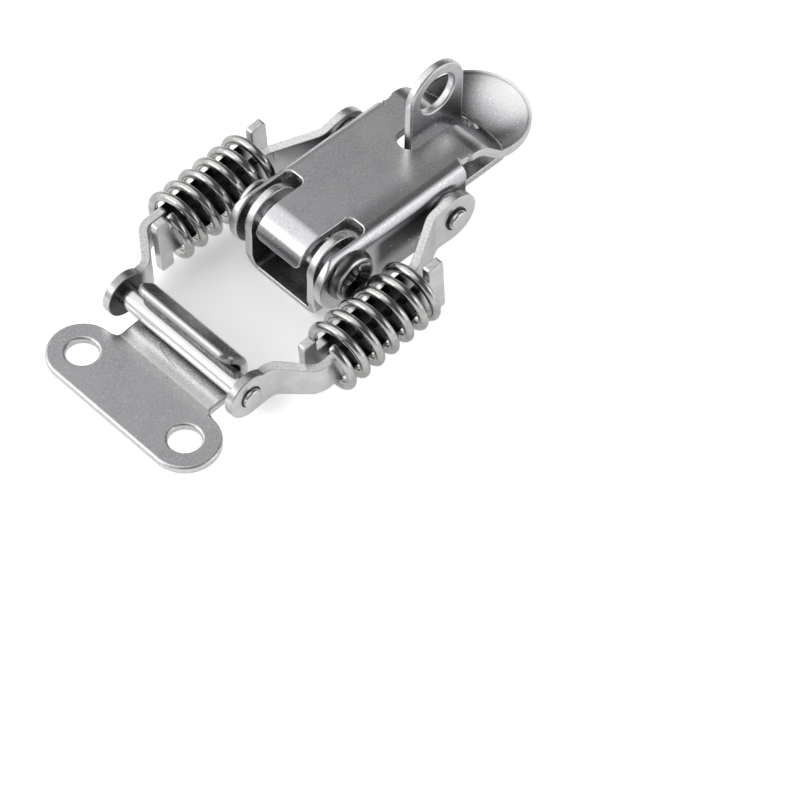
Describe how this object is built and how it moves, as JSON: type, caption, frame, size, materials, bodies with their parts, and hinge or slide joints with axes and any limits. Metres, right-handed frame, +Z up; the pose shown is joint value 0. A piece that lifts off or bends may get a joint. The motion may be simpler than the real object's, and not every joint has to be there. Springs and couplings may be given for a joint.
{
  "type": "over centre toggle latch",
  "caption": "Spring-loaded over-centre toggle latch with padlock eye: lever on a channel base pulls a hooked keeper through sprung tie rods.",
  "frame": {"origin": "midway between the base's two mounting holes, on the mounting plane", "axes": "+Z up out of the mounting plane, +X from the keeper towards the thumb tab, Y across the latch"},
  "size_m": [0.0869, 0.047, 0.0273],
  "materials": {
    "sheet": "satin stainless sheet, tumbled, with bright specks",
    "strip": "blanked strip with sheared edges",
    "pin": "polished pins and rivets",
    "wire": "bright drawn spring wire"
  },
  "bodies": {
    "base": {"base": "sheet", "padlock_eye": "sheet", "pivot_axle": "pin"},
    "lever": {"lever": "sheet", "rear_rivet_l": "pin", "rear_rivet_r": "pin", "rear_washer_l": "sheet", "rear_washer_r": "sheet"},
    "links": {"rear_arm_l": "strip", "rear_arm_r": "strip", "spring_l": "wire", "spring_r": "wire"},
    "yoke": {"front_arm_l": "strip", "front_arm_r": "strip", "cross_pin": "pin", "keeper": "sheet"}
  },
  "joints": [
    {"name": "lever_open", "type": "hinge", "parent": "base", "child": "lever", "pos_m": [-0.0243, 0, 0.0098], "axis": [0, -1, 0], "range_deg": [0, 165]},
    {"name": "link_turn", "type": "hinge", "parent": "lever", "child": "links", "pos_m": [-0.0039, 0, 0.0086], "axis": [0, -1, 0], "range_deg": [-165, 0]},
    {"name": "yoke_pull", "type": "slide", "parent": "links", "child": "yoke", "axis": [-0.9962, 0, -0.0871], "range_m": [0, 0.0035], "stiffness_N_per_m": 13000, "springref_m": -0.001, "deforming": ["spring_l", "spring_r"]}
  ],
  "couplings": [
    {"joint": "link_turn", "follows": "lever_open", "ratio": -1}
  ]
}
